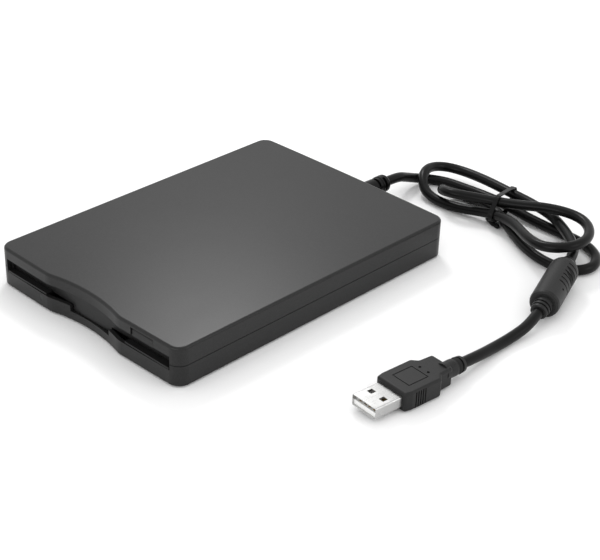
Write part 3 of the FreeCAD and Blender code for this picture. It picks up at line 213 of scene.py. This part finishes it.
def metal(name, colour, roughness, stretch=(1, 1, 1), turn=0.0, stain=0.12, depth=0.006):
    surface = Surface(name, Metallic=1.0)
    brushed = surface.noise(0.35, 3, 0.6, stretch=stretch, turn=turn)
    cloud = surface.noise(8, 3, 0.6)
    shade = [c * (1 - stain) for c in colour]
    amount = (brushed * 0.45 + cloud * 0.55).spread(0.25, 0.75)
    surface.feed("Base Color", amount.colour(shade, colour))
    surface.feed("Roughness", brushed * 0.14 + cloud.spread(0.4, 0.7) * 0.1 + (roughness - 0.1))
    surface.relief(brushed, depth)
    return surface.material


def laminate(name, dark, light):
    surface = Surface(name, Coat_Weight=0.3, Coat_Roughness=0.2)
    tracks = surface.waves(0.9, "DIAGONAL", 1.6).spread(0.62, 0.8)
    weave = surface.waves(0.25, "X") * surface.waves(0.25, "Y")
    surface.feed("Base Color", (tracks * 0.8 + weave * 0.2).colour(dark, light))
    surface.feed("Roughness", weave * 0.1 + 0.38)
    surface.relief(tracks * 0.8 + weave * 0.2, 0.03)
    return surface.material


def plain_plastic(name, dark, light, roughness):
    surface = Surface(name)
    cloud = surface.noise(1.4, 3)
    fine = surface.noise(1.4 / 6, 2)
    surface.feed("Base Color", (cloud * 0.6 + fine * 0.4).colour(dark, light))
    surface.feed("Roughness", fine * 0.12 + (roughness - 0.06))
    surface.relief(fine, 0.01)
    return surface.material


def copper_windings(name):
    surface = Surface(name, Metallic=0.85)
    turns = surface.waves(0.22, "Z", 0.4)
    cloud = surface.noise(2.0, 3)
    amount = turns * 0.7 + cloud * 0.3
    surface.feed("Base Color", amount.colour((0.26, 0.08, 0.03), (0.78, 0.34, 0.16)))
    surface.feed("Roughness", cloud * 0.15 + 0.25)
    surface.relief(turns, 0.05)
    return surface.material


def smoked_lens(name):
    surface = Surface(name, Specular_IOR_Level=0.25, Coat_Weight=0.1, Coat_Roughness=0.1)
    cloud = surface.noise(0.8, 2)
    surface.feed("Base Color", cloud.colour((0.010, 0.012, 0.011), (0.02, 0.024, 0.022)))
    surface.feed("Roughness", cloud * 0.05 + 0.3)
    return surface.material


def floor_paper(name):
    surface = Surface(name, Roughness=0.9, Specular_IOR_Level=0.0)
    cloud = surface.noise(60, 2)
    surface.feed("Base Color", cloud.colour((0.93, 0.93, 0.93), (0.95, 0.95, 0.95)))
    return surface.material


# One row for each finish: how it is made, then its colours, roughness and grain
FINISHES = {
    "case_plastic": (textured_plastic, 0.008, 0.019, 0.34, 0.42, 0.011, 0.03),
    "bezel_plastic": (textured_plastic, 0.006, 0.014, 0.44, 0.3, 0.02, 0.08),
    "plug_vinyl": (textured_plastic, 0.007, 0.017, 0.44, 0.3, 0.03),
    "lever_plastic": (plain_plastic, (0.09, 0.09, 0.095), (0.14, 0.14, 0.14), 0.4),
    "carriage_plastic": (plain_plastic, (0.03, 0.03, 0.03), (0.06, 0.06, 0.06), 0.42),
    "chip_plastic": (plain_plastic, (0.02, 0.02, 0.022), (0.05, 0.05, 0.05), 0.5),
    "socket_plastic": (plain_plastic, (0.72, 0.7, 0.62), (0.82, 0.8, 0.72), 0.45),
    "tongue_plastic": (plain_plastic, (0.74, 0.74, 0.73), (0.86, 0.86, 0.85), 0.4),
    "head_ceramic": (plain_plastic, (0.62, 0.6, 0.55), (0.75, 0.73, 0.68), 0.22),
    "ribbon_film": (plain_plastic, (0.55, 0.28, 0.06), (0.75, 0.42, 0.1), 0.35),
    "sheet_steel": (metal, (0.62, 0.63, 0.64), 0.36, (1, 30, 1)),
    "rotor_steel": (metal, (0.66, 0.66, 0.65), 0.3, (14, 14, 1)),
    "motor_steel": (metal, (0.6, 0.6, 0.6), 0.34, (40, 1, 1)),
    "rod_steel": (metal, (0.78, 0.78, 0.78), 0.16, (1, 24, 1)),
    "screw_steel": (metal, (0.34, 0.34, 0.35), 0.36, (2, 2, 1)),
    "plug_metal": (metal, (0.52, 0.52, 0.515), 0.3, (1, 22, 1), -5.4, 0.03, 0.0004),
    "contact_metal": (metal, (0.83, 0.6, 0.25), 0.24, (1, 12, 1)),
    "bronze": (metal, (0.5, 0.34, 0.17), 0.42),
    "copper_wire": (copper_windings,),
    "spindle_laminate": (laminate, (0.008, 0.03, 0.016), (0.02, 0.07, 0.035)),
    "board_laminate": (laminate, (0.006, 0.05, 0.02), (0.015, 0.11, 0.045)),
    "lens_clear": (smoked_lens,),
    "foot_rubber": (vinyl, 0.014, 0.03, 0.72, 0.05),
    "cord_vinyl": (vinyl, 0.0025, 0.006, 0.3),
    "tie_vinyl": (vinyl, 0.0025, 0.006, 0.34),
}
MATERIALS = {name: make(name, *values) for name, (make, *values) in FINISHES.items()}

slot_of = {part["node"]: part["material_slot"] for part in frame["record"]["subparts"]}
for node, thing in nodes.items():
    thing.data.materials.clear()
    thing.data.materials.append(MATERIALS[slot_of[node]])


def fresh():
    bpy.ops.object.select_all(action="DESELECT")


def metres(spot):
    return tuple(c * MM for c in spot)


def lead(name, points, *replaced):
    """Smooth round lead through listed points, in the place of CAD nodes."""
    fresh()
    bpy.ops.curve.primitive_nurbs_path_add(location=(0, 0, 0))
    piece = bpy.context.object
    piece.name = name
    curve = piece.data
    curve.splines.clear()
    spline = curve.splines.new("NURBS")
    spline.points.add(len(points) - 1)
    for spot, point in zip(spline.points, points):
        spot.co = (*metres(point), 1)
    spline.order_u = 3
    spline.use_endpoint_u = True
    spline.resolution_u = CORD_STEPS
    curve.dimensions = "3D"
    curve.bevel_depth = CORD_DIAMETER / 2 * MM
    curve.bevel_resolution = CORD_FACETS
    curve.use_fill_caps = True
    curve.materials.clear()
    curve.materials.append(MATERIALS["cord_vinyl"])
    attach(piece, "case")
    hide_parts(*replaced)
    return piece


main_lead = lead("lead_to_core", EXIT + HANK[1:], "cord_exit_run", "cord_hank")
end_lead = lead("lead_to_plug", TAIL, "cord_end_run")

# Floor
fresh()
bpy.ops.mesh.primitive_plane_add(size=FLOOR_SIZE, location=(0, 0, 0))
floor = bpy.context.object
floor.name = "floor"
floor.data.materials.append(floor_paper("floor_paper"))

# White surroundings, full where they are seen and a little dimmer as light
world = bpy.data.worlds.new("studio")
world.use_nodes = True
bpy.context.scene.world = world
sky = Tree(world.node_tree)
background = world.node_tree.nodes["Background"]
sky.fill(background.inputs["Color"], (1, 1, 1, 1))
camera_ray, glossy_ray, passing_ray = [
    sky.node("ShaderNodeLightPath", out=f"Is {kind} Ray") for kind in ("Camera", "Glossy", "Transmission")
]
seen = (camera_ray + glossy_ray + passing_ray).spread(0.0, 1.0)
sky.fill(background.inputs["Strength"], seen * (1 - AMBIENT) + AMBIENT)

# Softboxes
for name, (place, aim, size, watts) in SOFTBOXES.items():
    fresh()
    bpy.ops.object.light_add(type="AREA", location=place)
    light = bpy.context.object
    light.name = name
    light.data.shape = "RECTANGLE"
    light.data.size, light.data.size_y = size
    light.data.energy = watts
    light.rotation_euler = (Vector(aim) - Vector(place)).to_track_quat("-Z", "Y").to_euler()

bpy.context.scene.view_settings.view_transform = "Standard"

# Camera: back points from the object to the camera, and right and up lean by the roll
yaw, rise, roll = (math.radians(a) for a in (CAMERA_YAW, CAMERA_RISE, CAMERA_ROLL))
back = Vector((math.sin(yaw) * math.cos(rise), -math.cos(yaw) * math.cos(rise), math.sin(rise)))
right = Vector((0, 0, 1)).cross(back).normalized()
up = back.cross(right)
leaned_right = right * math.cos(roll) + up * math.sin(roll)
leaned_up = up * math.cos(roll) - right * math.sin(roll)
turn = Matrix((leaned_right, leaned_up, back)).transposed().to_4x4()
fresh()
bpy.ops.object.camera_add(location=(0, 0, 0))
camera = bpy.context.object
camera.matrix_world = Matrix.Translation(CAMERA_PLACE) @ turn
camera.data.sensor_width = CAMERA_SENSOR
camera.data.lens = CAMERA_LENS
camera.data.shift_x, camera.data.shift_y = CAMERA_SHIFT
camera.data.clip_start = 0.01
bpy.context.scene.camera = camera

bpy.context.view_layer.update()
